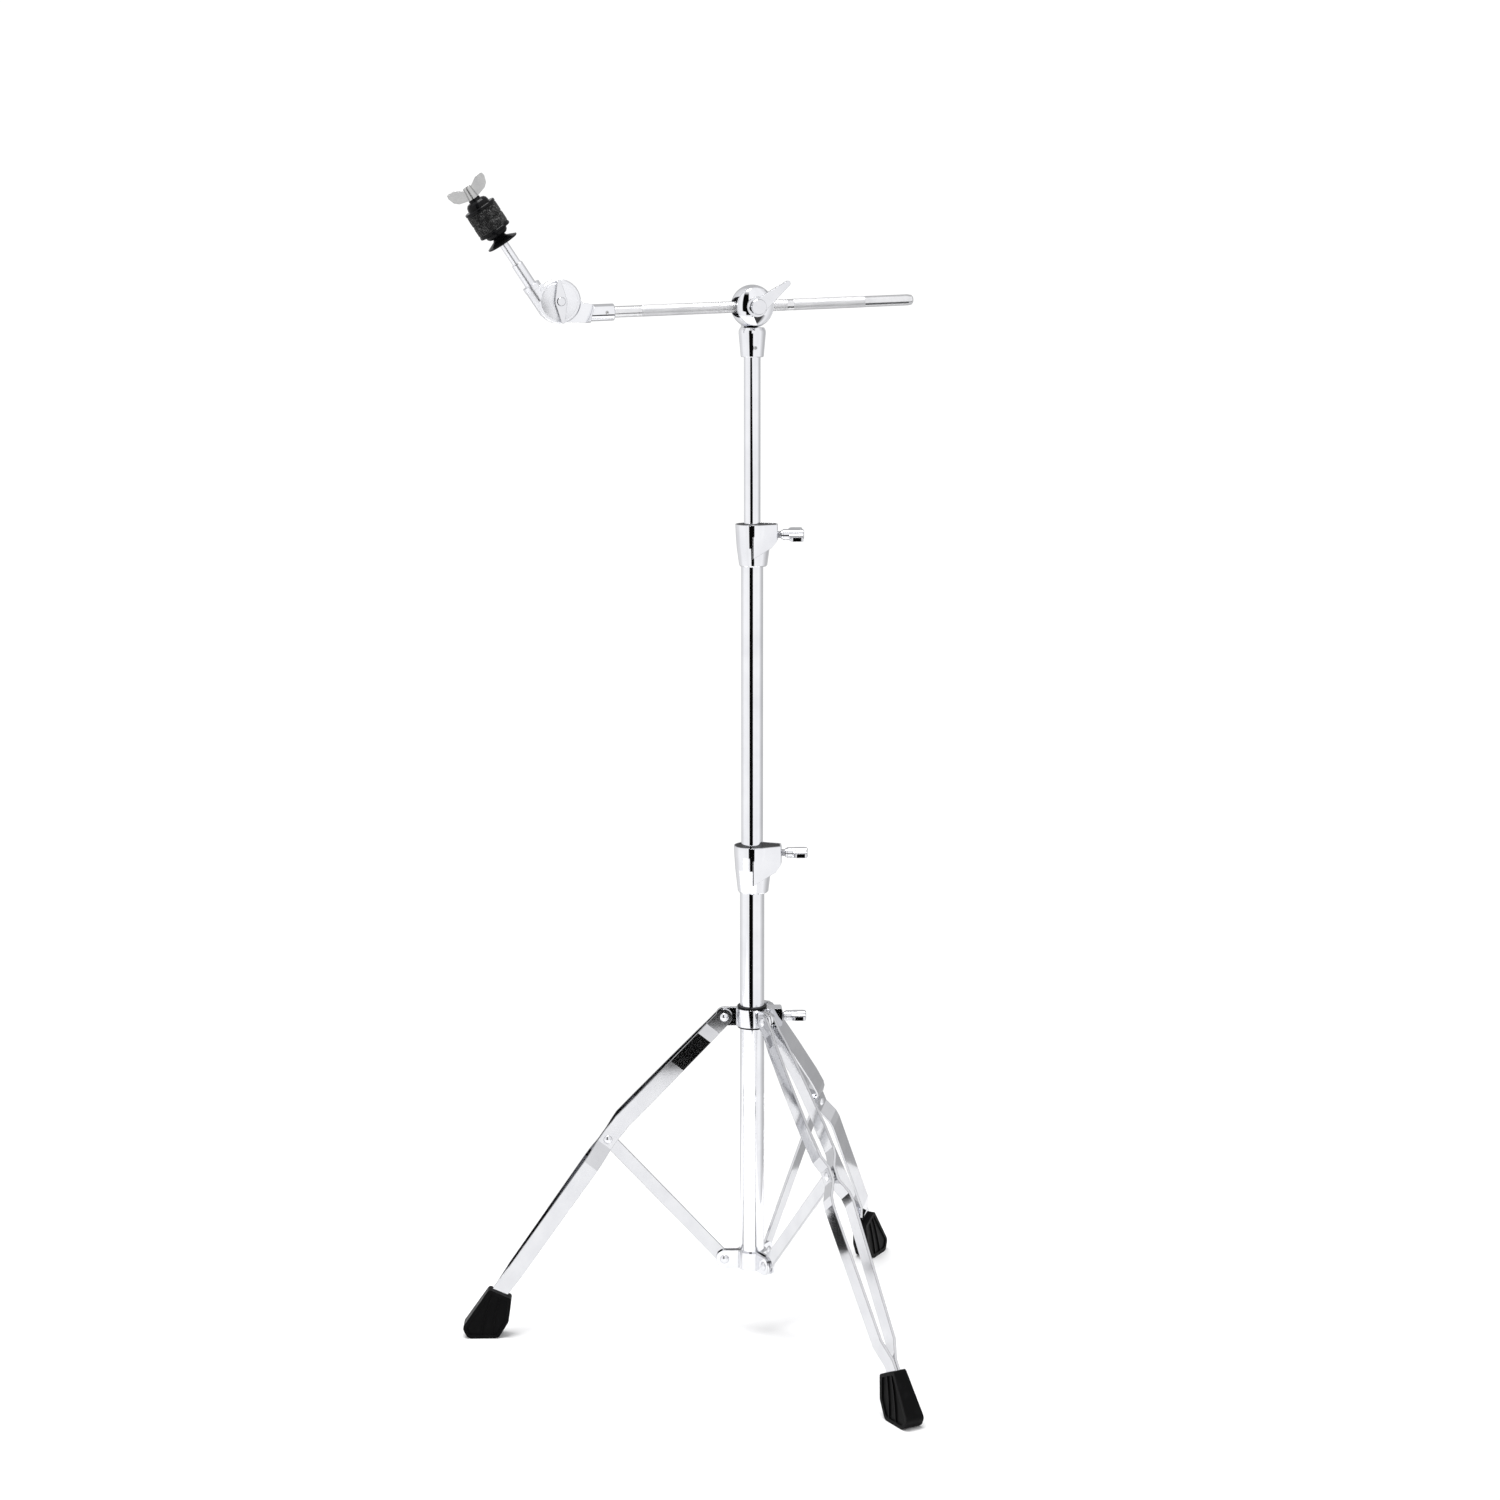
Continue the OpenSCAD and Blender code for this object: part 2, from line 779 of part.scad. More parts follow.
module grip_sleeve() {
    color(steel)
        at_boom()
            difference() {
                rod_x(-16, 16, 7.6);
                rod_x(-20, 20, boom_r + 0.15 + FIT);
            }
}

// ---------- boom and cymbal tilter ----------

module boom_rod() {
    knurl_r = boom_r + 0.12;
    color(steel)
        at_boom() {
            rod_x(-181, boom_tail - 6, boom_r);
            rod_x(boom_tail - 6, boom_tail - 1.5, boom_r, boom_r - 0.7);
            rod_x(boom_tail - 1.5, boom_tail, boom_r - 0.7, boom_r - 2.2);
            rod_x(-129, 40, knurl_r);
            rod_x(48, 132, knurl_r);
        }
}

base_disc_r = 23;
nut_seat_y = 8.9;

// The boom's ferrule and neck, and the disc behind the hinge
module tilter_base() {
    ferrule_r = 9.5;
    flange_r = 10.9;
    flange_end = flange_x - 5.8;
    neck_end = flange_end - hinge.x;
    color(chrome)
        difference() {
            union() {
                translate(hinge) {
                    rod_y(0.15, 9, base_disc_r);
                    rod_y(9, 12, base_disc_r, base_disc_r - 2.5);
                }
                at_boom() {
                    rod_x(flange_x, ferrule_x - 1, ferrule_r);
                    rod_x(ferrule_x - 1, ferrule_x, ferrule_r, ferrule_r - 1);
                    rod_x(flange_end, flange_x, flange_r);
                    rod_x(flange_end - 11, flange_end, 8, flange_r - 0.3);
                }
                translate(hinge)
                    upright(0.15, 9)
                        polygon([[0, -base_disc_r], [neck_end, -24], [neck_end, -4], [20, 8], [0, 0]]);
            }
            at_boom() {
                rod_x(-182, -150, boom_r + TOUCH);
                translate([set_screw_x, 0, 0]) rod_y(-20, 0, set_screw_r + TOUCH);
            }
            translate(hinge) {
                rod_y(-20, 20, 3 + FIT);
                rod_y_hex(nut_seat_y, 14, 6.6);
                rod_y(-20, 0.15, 40);
            }
        }
}

set_screw_x = -170;
set_screw_r = 1.7;

module ferrule_set_screw() {
    color(steel) at_boom() translate([set_screw_x, 0, 0]) set_screw_y(-9.3, -boom_r - 0.1, set_screw_r);
}

// The arm: a domed disc on the hinge, and the socket that holds the stem beside it
module tilter_arm() {
    rim_y = -9;
    dome_rim_r = 20.3;
    step = 1.2;
    dome_rise = 2;
    dome_r = (dome_rim_r * dome_rim_r + dome_rise * dome_rise) / (2 * dome_rise);
    socket_r = 9.7;
    band_r = 10.2;
    left = -sleeve_offset - socket_r;
    color(chrome)
        at_stem()
            difference() {
                union() {
                    rod_y(rim_y + 1.5, -0.15, disc_r);
                    rod_y(rim_y, rim_y + 1.5, disc_r - 1.5, disc_r);
                    intersection() {
                        translate([0, rim_y - step - dome_rise + dome_r, 0]) sphere(r = dome_r);
                        rod_y(rim_y - step - dome_rise, rim_y + 1, dome_rim_r);
                    }
                    upright(rim_y + 1, -0.15)
                        polygon([
                            [left, -2], [left, 27], [-sleeve_offset + 9, 27],
                            [-2, disc_r - 1.5], [0, 0], [-disc_r * 0.8, -disc_r * 0.6]
                        ]);
                    translate([-sleeve_offset, 0, 12]) cylinder(h = 15, r = socket_r);
                    translate([-sleeve_offset, 0, 26]) cylinder(h = socket_top - 26, r = band_r);
                }
                rod_y(-0.15, 20, base_disc_r + 0.6);
                rod_y(-30, 20, 3 + FIT);
                translate([-sleeve_offset, 0, sleeve_foot]) cylinder(h = 30, r = sleeve_r + TOUCH);
            }
}

sleeve_foot = 22;

module tilter_wing_bolt() {
    lean = 5.3;
    color(chrome)
        translate(hinge) {
            rod_y(-16, 11, 3);
            rod_y(-21.7, -12.5, 4.4, 6.6);
            for (side = [0, 180])
                rotate([0, side - 90 - lean, 0])
                    upright(-19.6, -15) polygon(two_circles(6.8, 2, 22.2, 8));
        }
}

module tilter_nut() {
    color(steel)
        translate(hinge)
            difference() {
                rod_y_hex(nut_seat_y + 0.1, 13.6, 6.5);
                rod_y(0, 20, 3 + FIT);
            }
}

// ---------- cymbal seat ----------

// The stem: a thick sleeve, a thinner post and the thread that carries the seat
module cymbal_stem() {
    color(chrome)
        on_stem_axis() {
            translate([0, 0, sleeve_foot]) cylinder(h = sleeve_top - sleeve_foot - 0.6, r = sleeve_r);
            translate([0, 0, sleeve_top - 0.6]) cylinder(h = 0.6, r1 = sleeve_r, r2 = sleeve_r - 0.6);
            translate([0, 0, sleeve_foot]) cylinder(h = seat_z - 0.1 - sleeve_foot, r = stem_d / 2);
            translate([0, 0, seat_z - 1]) cylinder(h = stem_top - seat_z, r = thread_r);
            translate([0, 0, stem_top - 1]) cylinder(h = 1, r1 = thread_r, r2 = thread_r - 0.8);
        }
}

// The flared washer under the seat
module seat_base() {
    color(nylon)
        on_stem_axis(seat_z)
            rotate_extrude()
                polygon([
                    [thread_r + TOUCH, 0], [17.6, 0], [18.3, 0.6], [18.3, 1.8], [17, 2.3],
                    [8.6, 6.2], [7.2, 8.5], [thread_r + TOUCH, 8.5]
                ]);
}

// The lower cup with the long sleeve that runs up through both felts
module seat_cup_sleeve() {
    bore = thread_r + TOUCH;
    color(nylon)
        on_stem_axis(cup_z) {
            rotate_extrude()
                polygon([
                    [bore, 0], [8.5, 0], [10.9, 0.9], [12.5, 2.6], [13.2, 5],
                    [13.2, 6.2], [17.8, 6.2], [18.7, 6.9], [18.7, 9], [18, 9.8], [bore, 9.8]
                ]);
            difference() {
                translate([0, 0, 9]) cylinder(h = 0.7 + 2 * felt_h, r = seat_sleeve_r);
                cylinder(h = 50, r = bore);
            }
        }
}

seat_sleeve_r = 6;

module felt_ring(z) {
    color(felt)
        on_stem_axis(z)
            difference() {
                cylinder(h = felt_h - 0.1, r = felt_d / 2);
                translate([0, 0, -1]) cylinder(h = felt_h + 2, r = seat_sleeve_r + FIT);
            }
}

module top_cup() {
    bore = thread_r + FIT;
    color(nylon)
        on_stem_axis(top_cup_z)
            rotate_extrude()
                polygon([
                    [bore, 0], [18, 0], [18.6, 0.7], [18.6, 2.9], [17.9, 3.6], [13.2, 3.6],
                    [13.2, 6], [12.4, 8.8], [10.6, 10.8], [8.2, 11.6], [6.8, 11.7], [6.8, 14], [bore, 14]
                ]);
}

module cymbal_wing_nut() {
    wing_t = 3.2;
    wing = [
        [3, 1], [6.4, 0.6], [16.8, 3.5], [21.2, 7.2], [23.7, 14.7],
        [22.9, 18.9], [14.5, 18.4], [4.7, 12.7], [3, 12]
    ];
    bore = thread_r + FIT;
    color(chrome)
        on_stem_axis(wing_nut_z)
            difference() {
                union() {
                    rotate_extrude()
                        polygon([[0, 0], [5.9, 0], [6.2, 0.5], [5, 13.3], [4.6, 14.4], [0, 14.9]]);
                    for (side = [0, 180])
                        rotate([0, 0, side])
                            upright(-wing_t / 2, wing_t / 2)
                                polygon(rounded(wing, [0, 0, 1.5, 2, 1.2, 1.2, 2, 0, 0], 4));
                }
                translate([0, 0, -1]) cylinder(h = 20, r = bore);
            }
}

base_tube();
base_end_plug();
hub_plates();
hub_rivets();
lower_clamp_collar();
lower_clamp_bushing();
lower_clamp_shoe();
lower_wing_screw();
brace(0);  // brace_a
brace(1);  // brace_b
brace(2);  // brace_c
color(chrome) leg_bar(0, 1);  // leg_a_left_bar
color(chrome) leg_bar(0, -1);  // leg_a_right_bar
knee_rivet(0);  // knee_rivet_a
foot(0);  // foot_a
color(chrome) leg_bar(1, 1);  // leg_b_left_bar
color(chrome) leg_bar(1, -1);  // leg_b_right_bar
knee_rivet(1);  // knee_rivet_b
foot(1);  // foot_b
color(chrome) leg_bar(2, 1);  // leg_c_left_bar
color(chrome) leg_bar(2, -1);  // leg_c_right_bar
knee_rivet(2);  // knee_rivet_c
foot(2);  // foot_c
collar_plate(0);  // collar_plate_a
collar_plate(1);  // collar_plate_b
collar_plate(2);  // collar_plate_c
collar_rivets();
collar_liner();
collar_screw_block();
collar_wing_screw();
mid_tube();
mid_tube_glide();
upper_clamp_collar();
upper_clamp_bushing();
upper_clamp_shoe();
upper_wing_screw();
upper_tube();
upper_tube_glide();
boom_neck();
neck_set_screw();
clamp_bowl();
clamp_dome();
clamp_washer();
clamp_bolt();
clamp_rear_nut();
boom_lever();
grip_sleeve();
boom_rod();
tilter_base();
ferrule_set_screw();
tilter_arm();
tilter_wing_bolt();
tilter_nut();
cymbal_stem();
seat_base();
seat_cup_sleeve();
felt_ring(felt_z);  // lower_felt
felt_ring(felt_z + felt_h);  // upper_felt
top_cup();
cymbal_wing_nut();
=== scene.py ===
import json
import math
import random

import bmesh
import bpy
from mathutils import Matrix, Vector, noise


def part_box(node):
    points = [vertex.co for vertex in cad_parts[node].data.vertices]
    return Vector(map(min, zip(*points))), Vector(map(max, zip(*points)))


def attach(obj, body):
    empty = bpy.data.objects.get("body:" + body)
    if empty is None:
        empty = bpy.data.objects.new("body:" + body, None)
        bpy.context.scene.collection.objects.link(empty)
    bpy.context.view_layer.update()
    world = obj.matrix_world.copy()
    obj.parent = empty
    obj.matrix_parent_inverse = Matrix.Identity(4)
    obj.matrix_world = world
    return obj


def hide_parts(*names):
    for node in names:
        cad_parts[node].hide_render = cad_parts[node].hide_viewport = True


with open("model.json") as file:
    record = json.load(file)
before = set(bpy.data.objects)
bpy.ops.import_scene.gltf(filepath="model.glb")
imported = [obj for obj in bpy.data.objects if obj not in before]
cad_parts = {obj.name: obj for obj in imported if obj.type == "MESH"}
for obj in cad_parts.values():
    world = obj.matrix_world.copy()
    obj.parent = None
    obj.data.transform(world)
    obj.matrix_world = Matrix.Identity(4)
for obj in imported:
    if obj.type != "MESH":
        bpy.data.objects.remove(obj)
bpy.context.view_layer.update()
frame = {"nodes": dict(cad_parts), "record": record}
nodes = frame["nodes"]
scene = bpy.context.scene
MM = 0.001

# ---------- directions and frames of the stand ----------

CAMERA_AZIMUTH = math.radians(255)
SCREW_AZIMUTH = math.radians(-13)
BOOM_PITCH = math.radians(1.85)
STEM_TILT = math.radians(33.5)
BALL = Vector((0, 0, 1.2214))
HINGE = Vector((-223.8, 0, 1228.6)) * MM
SLEEVE_OFFSET = 15.4 * MM

stem_up = Vector((-math.sin(STEM_TILT), 0, math.cos(STEM_TILT)))
stem_side = Vector((math.cos(STEM_TILT), 0, math.sin(STEM_TILT)))
STEM = Matrix((
    (stem_side.x, 0, stem_up.x, 0),
    (stem_side.y, 1, stem_up.y, 0),
    (stem_side.z, 0, stem_up.z, 0),
    (0, 0, 0, 1),
))
STEM.translation = HINGE - SLEEVE_OFFSET * stem_side


# ---------- node helpers ----------


def add(tree, kind, inputs=None, **settings):
    """A shader node with its settings and its inputs: plain values, or other nodes' outputs"""
    made = tree.nodes.new(kind)
    for key, value in settings.items():
        setattr(made, key, value)
    for key, value in (inputs or {}).items():
        if isinstance(value, bpy.types.NodeSocket):
            tree.links.new(value, made.inputs[key])
        else:
            made.inputs[key].default_value = value
    return made


def math_node(tree, operation, a, b=0.0, clamp=False):
    made = add(tree, "ShaderNodeMath", {0: a, 1: b}, operation=operation, use_clamp=clamp)
    return made.outputs[0]


def product(tree, first, *others):
    for other in others:
        first = math_node(tree, "MULTIPLY", first, other)
    return first


def vector_node(tree, operation, a, b=(0, 0, 0)):
    made = add(tree, "ShaderNodeVectorMath", {0: a, 1: b}, operation=operation)
    return made.outputs["Value" if operation in ("DOT_PRODUCT", "LENGTH") else "Vector"]


def noise_node(tree, where, scale, detail=3.0, rough=0.55):
    inputs = {"Vector": where, "Scale": scale, "Detail": detail, "Roughness": rough}
    return add(tree, "ShaderNodeTexNoise", inputs).outputs["Fac"]


def span(tree, value, low, high, to_low=0.0, to_high=1.0):
    """Maps a value from one range to another and holds it inside the second"""
    ranges = {"From Min": low, "From Max": high, "To Min": to_low, "To Max": to_high}
    return add(tree, "ShaderNodeMapRange", {"Value": value, **ranges}).outputs["Result"]


def blend_colours(tree, factor, a, b):
    """Two colours mixed, each one a plain triple or another node's output"""
    a, b = (c if isinstance(c, bpy.types.NodeSocket) else (*c, 1) for c in (a, b))
    made = add(tree, "ShaderNodeMix", {0: factor, 6: a, 7: b}, data_type="RGBA")
    return made.outputs[2]


def new_material(name):
    made = bpy.data.materials.new(name)
    made.use_nodes = True
    tree = made.node_tree
    where = add(tree, "ShaderNodeTexCoord").outputs["Object"]
    return made, tree, tree.nodes["Principled BSDF"], where


def surface_normal(tree, height, distance, round_edge=0.0004):
    """Rounded edges and a fine relief"""
    edge = add(tree, "ShaderNodeBevel", {"Radius": round_edge}, samples=4).outputs["Normal"]
    inputs = {"Height": height, "Distance": distance, "Strength": 1.0, "Normal": edge}
    return add(tree, "ShaderNodeBump", inputs).outputs["Normal"]


def edge_shade(tree, colour, width, depth):
    """Paints a dark line into the colour along sharp edges: a painted reflection, standing in for
    rounded plating that mirrors the dark side of a room
    """
    rounded = add(tree, "ShaderNodeBevel", {"Radius": width}, samples=6).outputs["Normal"]
    flat = add(tree, "ShaderNodeNewGeometry").outputs["Normal"]
    facing = vector_node(tree, "DOT_PRODUCT", rounded, flat)
    painted_edge_reflection = math_node(tree, "MULTIPLY", span(tree, facing, 0.985, 0.8), depth)
    return blend_colours(tree, painted_edge_reflection, colour, (0.05, 0.05, 0.06))


def axial(tree, where, origin, direction):
    """Distance along an axis, distance from it, and the way from its origin"""
    shifted = vector_node(tree, "SUBTRACT", where, origin)
    along = vector_node(tree, "DOT_PRODUCT", shifted, direction)
    away = vector_node(tree, "LENGTH", vector_node(tree, "CROSS_PRODUCT", shifted, direction))
    return along, away, shifted


# ---------- materials ----------

THREAD_PITCH = 0.00125
THREAD_DEPTH = 0.00018
SHANK_RADIUS = 0.0042
SHANK_EDGE = 0.0001
# Width of the painted dark reflection line along the chrome's sharp edges
PAINTED_EDGE_WIDTH = 0.0009


def chrome(name, tone=1.0, rough_low=0.015, rough_high=0.055, relief=0.0000004, painted_edge_darkness=0.75,
           thread=None):
    """Bright plating: soft cloudiness, faint wiping marks, rounded edges and a painted dark
    reflection along sharp edges.

    A screw's thread is a point on its axis and the axis, and only shows on its shank, where its
    grooves get painted shade.
    """
    made, tree, shader, where = new_material(name)
    cloud = noise_node(tree, where, 38, 4)
    wipe = noise_node(tree, where, 420, 5, 0.65)
    light = tuple(tone * v for v in (0.80, 0.805, 0.825))
    dull = tuple(tone * v for v in (0.735, 0.74, 0.765))
    colour = blend_colours(tree, span(tree, cloud, 0.35, 0.7), light, dull)
    rough = span(tree, wipe, 0.35, 0.75, rough_low, rough_high)
    height = wipe
    if thread is not None:
        along, away, _ = axial(tree, where, *thread)
        on_shank = span(tree, away, SHANK_RADIUS + SHANK_EDGE, SHANK_RADIUS - SHANK_EDGE)
        ridge = math_node(tree, "SINE", product(tree, along, 2 * math.pi / THREAD_PITCH))
        # Painted shade: the thread's grooves are darkened in the colour
        painted_groove_shade = product(tree, on_shank, span(tree, ridge, 0.3, -0.8))
        colour = blend_colours(tree, painted_groove_shade, colour, (0.05, 0.05, 0.055))
        turns = product(tree, ridge, on_shank, THREAD_DEPTH / relief)
        height = math_node(tree, "ADD", wipe, turns)
    # The colour gets a painted dark reflection line along sharp edges
    tree.links.new(edge_shade(tree, colour, PAINTED_EDGE_WIDTH, painted_edge_darkness), shader.inputs["Base Color"])
    tree.links.new(rough, shader.inputs["Roughness"])
    shader.inputs["Metallic"].default_value = 1.0
    tree.links.new(surface_normal(tree, height, relief), shader.inputs["Normal"])
    return made


def satin(name, colour_a, colour_b, rough_low, rough_high):
    """Brushed or tumbled steel"""
    made, tree, shader, where = new_material(name)
    cloud = noise_node(tree, where, 60)
    fine = noise_node(tree, where, 900, 4, 0.6)
    colour = blend_colours(tree, span(tree, cloud, 0.3, 0.7), colour_a, colour_b)
    rough = span(tree, fine, 0.3, 0.7, rough_low, rough_high)
    tree.links.new(colour, shader.inputs["Base Color"])
    tree.links.new(rough, shader.inputs["Roughness"])
    shader.inputs["Metallic"].default_value = 1.0
    tree.links.new(surface_normal(tree, fine, 0.000002), shader.inputs["Normal"])
    return made


KNURL_TEETH = 36.0
KNURL_RADIUS = 0.0065
KNURL_EDGE = 0.0002
KNURLED_STRETCHES = ((-0.129, 0.04), (0.048, 0.132))


def knurled(name):
    """The boom: satin steel, diamond knurling in two stretches and plain steel between them"""
    made, tree, shader, where = new_material(name)
    direction = Vector((math.cos(BOOM_PITCH), 0, math.sin(BOOM_PITCH)))
    upward = Vector((-math.sin(BOOM_PITCH), 0, math.cos(BOOM_PITCH)))
    along, _, shifted = axial(tree, where, BALL, direction)
    up = vector_node(tree, "DOT_PRODUCT", shifted, upward)
    across = add(tree, "ShaderNodeSeparateXYZ", {0: shifted}).outputs["Y"]
    turns = product(tree, math_node(tree, "ARCTAN2", up, across), KNURL_TEETH)
    run = product(tree, along, KNURL_TEETH / KNURL_RADIUS)
    one = math_node(tree, "SINE", math_node(tree, "ADD", turns, run))
    two = math_node(tree, "SINE", math_node(tree, "SUBTRACT", turns, run))
    diamond = math_node(tree, "MAXIMUM", one, two)
    first, second = (
        product(
            tree,
            span(tree, along, start - KNURL_EDGE, start + KNURL_EDGE),
            span(tree, along, end + KNURL_EDGE, end - KNURL_EDGE),
        )
        for start, end in KNURLED_STRETCHES
    )
    rows = math_node(tree, "ADD", first, second, clamp=True)
    knurl_cut_and_painted_shade = product(tree, span(tree, diamond, 0.9, -0.2), rows)
    fine = noise_node(tree, where, 700, 4, 0.6)
    worn = noise_node(tree, where, 45)
    bright = blend_colours(
        tree, span(tree, worn, 0.3, 0.7), (0.84, 0.84, 0.85), (0.72, 0.72, 0.73))
    # Painted shade: the knurl's cuts are darkened in the colour, besides their bump
    colour = blend_colours(tree, product(tree, knurl_cut_and_painted_shade, 0.3), bright, (0.22, 0.22, 0.23))
    plain_rough = span(tree, fine, 0.3, 0.7, 0.16, 0.26)
    rough = math_node(tree, "ADD", plain_rough, product(tree, rows, 0.1))
    height = math_node(tree, "ADD", fine, product(tree, knurl_cut_and_painted_shade, -6.0))
    normal = surface_normal(tree, height, 0.000012, round_edge=0.0003)
    tree.links.new(colour, shader.inputs["Base Color"])
    tree.links.new(rough, shader.inputs["Roughness"])
    shader.inputs["Metallic"].default_value = 1.0
    tree.links.new(normal, shader.inputs["Normal"])
    return made


def plastic(name, colour_a, colour_b, rough_low, rough_high, relief, shine):
    made, tree, shader, where = new_material(name)
    cloud = noise_node(tree, where, 120)
    fine = noise_node(tree, where, 650, 4, 0.6)
    colour = blend_colours(tree, span(tree, cloud, 0.3, 0.7), colour_a, colour_b)
    rough = span(tree, fine, 0.3, 0.7, rough_low, rough_high)
    normal = surface_normal(tree, fine, relief, round_edge=0.0005)
    tree.links.new(colour, shader.inputs["Base Color"])
    tree.links.new(rough, shader.inputs["Roughness"])
    shader.inputs["Specular IOR Level"].default_value = shine
    tree.links.new(normal, shader.inputs["Normal"])
    return made


def rubber(name):
    """Foot rubber: a fine matt grain, a little paler where it's scuffed"""
    made, tree, shader, where = new_material(name)
    fine = noise_node(tree, where, 1100, 4, 0.6)
    scuffs = noise_node(tree, where, 90, 5, 0.7)
    black, grey = (0.0015, 0.0015, 0.0017), (0.006, 0.006, 0.0065)
    colour = blend_colours(tree, span(tree, scuffs, 0.5, 0.78), black, grey)
    rough = span(tree, scuffs, 0.35, 0.75, 0.36, 0.55)
    normal = surface_normal(tree, fine, 0.00006, round_edge=0.0009)
    tree.links.new(colour, shader.inputs["Base Color"])
    tree.links.new(rough, shader.inputs["Roughness"])
    shader.inputs["Specular IOR Level"].default_value = 0.07
    tree.links.new(normal, shader.inputs["Normal"])
    return made


def wool(name, dark, pale, where_pale):
    """Pressed wool: dark fibres speckled with paler ones"""
    made, tree, shader, where = new_material(name)
    stretch = {"Vector": where, "Scale": (1, 1, 2.2)}
    stretched = add(tree, "ShaderNodeMapping", stretch).outputs[0]
    speck = noise_node(tree, stretched, 720, 4, 0.75)
    patch = noise_node(tree, where, 240, 4, 0.6)
    mixed = math_node(tree, "ADD", product(tree, speck, 0.72), product(tree, patch, 0.28))
    factor = span(tree, mixed, where_pale - 0.1, where_pale + 0.1)
    tree.links.new(blend_colours(tree, factor, dark, pale), shader.inputs["Base Color"])
    shader.inputs["Roughness"].default_value = 0.95
    shader.inputs["Specular IOR Level"].default_value = 0.15
    shader.inputs["Sheen Weight"].default_value = 0.12
    shader.inputs["Sheen Roughness"].default_value = 0.5
    bump = add(tree, "ShaderNodeBump", {"Height": mixed, "Distance": 0.0004, "Strength": 0.9})
    tree.links.new(bump.outputs["Normal"], shader.inputs["Normal"])
    return made


MATERIALS = {
    "chrome": chrome("chrome_plate"),
    "satin_steel": satin(
        "satin_steel", (0.56, 0.56, 0.55), (0.47, 0.47, 0.47), rough_low=0.26, rough_high=0.34),
    "black_nylon": plastic(
        "black_nylon", (0.005, 0.005, 0.0055), (0.012, 0.012, 0.013),
        rough_low=0.3, rough_high=0.45, relief=0.00001, shine=0.08),
    "seat_plastic": plastic(
        "seat_plastic", (0.003, 0.003, 0.0035), (0.007, 0.007, 0.008),
        rough_low=0.1, rough_high=0.16, relief=0.000002, shine=0.12),
    "black_rubber": rubber("black_rubber"),
    "felt": wool("wool_felt", (0.004, 0.004, 0.0043), (0.36, 0.36, 0.355), where_pale=0.62),
}
SMOOTH = 0.0000001
# Painted light: these copies of one plating differ in tone for how much light each mirrors,
# brighter for the tubes, castings, stem and arm, darker for the legs and braces and a little
# darker for the wing screws
tube_chrome = chrome("tube_chrome", tone=1.08, relief=0.0000002, painted_edge_darkness=0.2)
leg_chrome = chrome(
    "leg_chrome", tone=0.82, rough_low=0.06, rough_high=0.08, relief=SMOOTH, painted_edge_darkness=0.95)
cast_chrome = chrome(
    "cast_chrome", tone=1.09, rough_low=0.03, rough_high=0.045, relief=SMOOTH, painted_edge_darkness=0.6)
soft_chrome = chrome(
    "soft_chrome", tone=1.1, rough_low=0.28, rough_high=0.33, relief=SMOOTH, painted_edge_darkness=0.12)
SPECIAL = {
    "boom_rod": knurled("knurled_steel"),
    "base_tube": tube_chrome,
    "mid_tube": tube_chrome,
    "upper_tube": tube_chrome,
    "lower_clamp_collar": cast_chrome,
    "upper_clamp_collar": cast_chrome,
    "boom_neck": cast_chrome,
    "clamp_bowl": cast_chrome,
    "clamp_dome": cast_chrome,
    "tilter_base": cast_chrome,
    "tilter_arm": soft_chrome,
    "cymbal_stem": soft_chrome,
}
for name in nodes:
    if "_bar" in name or name.startswith("brace"):
        SPECIAL[name] = leg_chrome
screw_way = Vector((math.cos(SCREW_AZIMUTH), math.sin(SCREW_AZIMUTH), 0))
for name in ("lower_wing_screw", "upper_wing_screw", "collar_wing_screw"):
    low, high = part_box(name)
    axis_point = Vector((0, 0, (low.z + high.z) / 2))
    SPECIAL[name] = chrome(
        name + "_metal", tone=0.97, rough_low=0.03, rough_high=0.05, relief=SMOOTH,
        thread=(axis_point, screw_way))
for part in frame["record"]["subparts"]:
    slots = nodes[part["node"]].data.materials
    slots.clear()
    slots.append(SPECIAL.get(part["node"], MATERIALS[part["material_slot"]]))

# ---------- the felts ----------

FELT_RIM = 0.0012
FELT_BOW = 0.00015
BORE_BEVEL = 0.0006
FLAT_STEPS = 8
RIM_STEPS = 6
AROUND = 220
FIBRES = 520
FIBRE_SIDES = 4


def new_piece(name, work, material):
    """A scene object from a bmesh, which is used up"""
    mesh = bpy.data.meshes.new(name)
    work.to_mesh(mesh)
    work.free()
    mesh.materials.append(material)
    piece = bpy.data.objects.new(name, mesh)
    scene.collection.objects.link(piece)
    return piece


def felt_profile(inner, outer, low, high):
    """A ring's section: bevelled at the bore, rounded at the rims, a little bowed at the side"""
    flat = (outer - FELT_RIM - inner) / (FLAT_STEPS + 0.5)
    centre = outer - FELT_RIM
    quarter = math.pi / 2
    profile = [(inner, low + BORE_BEVEL), (inner + BORE_BEVEL, low)]
    for step in range(FLAT_STEPS):
        profile.append((inner + flat * (step + 1), low))
    for step in range(RIM_STEPS + 1):
        turn = quarter * (step / RIM_STEPS - 1)
        away, rise = FELT_RIM * math.cos(turn), FELT_RIM * math.sin(turn)
        profile.append((centre + away, low + FELT_RIM + rise))
    for step in range(1, FLAT_STEPS):
        share = step / FLAT_STEPS
        bow = FELT_BOW * math.sin(math.pi * share)
        profile.append((outer + bow, low + FELT_RIM + (high - low - 2 * FELT_RIM) * share))
    for step in range(RIM_STEPS + 1):
        turn = quarter * step / RIM_STEPS
        away, rise = FELT_RIM * math.cos(turn), FELT_RIM * math.sin(turn)
        profile.append((centre + away, high - FELT_RIM + rise))
    for step in range(FLAT_STEPS):
        profile.append((inner + flat * (FLAT_STEPS - 0.5 - step), high))
    return profile + [(inner + BORE_BEVEL, high), (inner, high - BORE_BEVEL)]


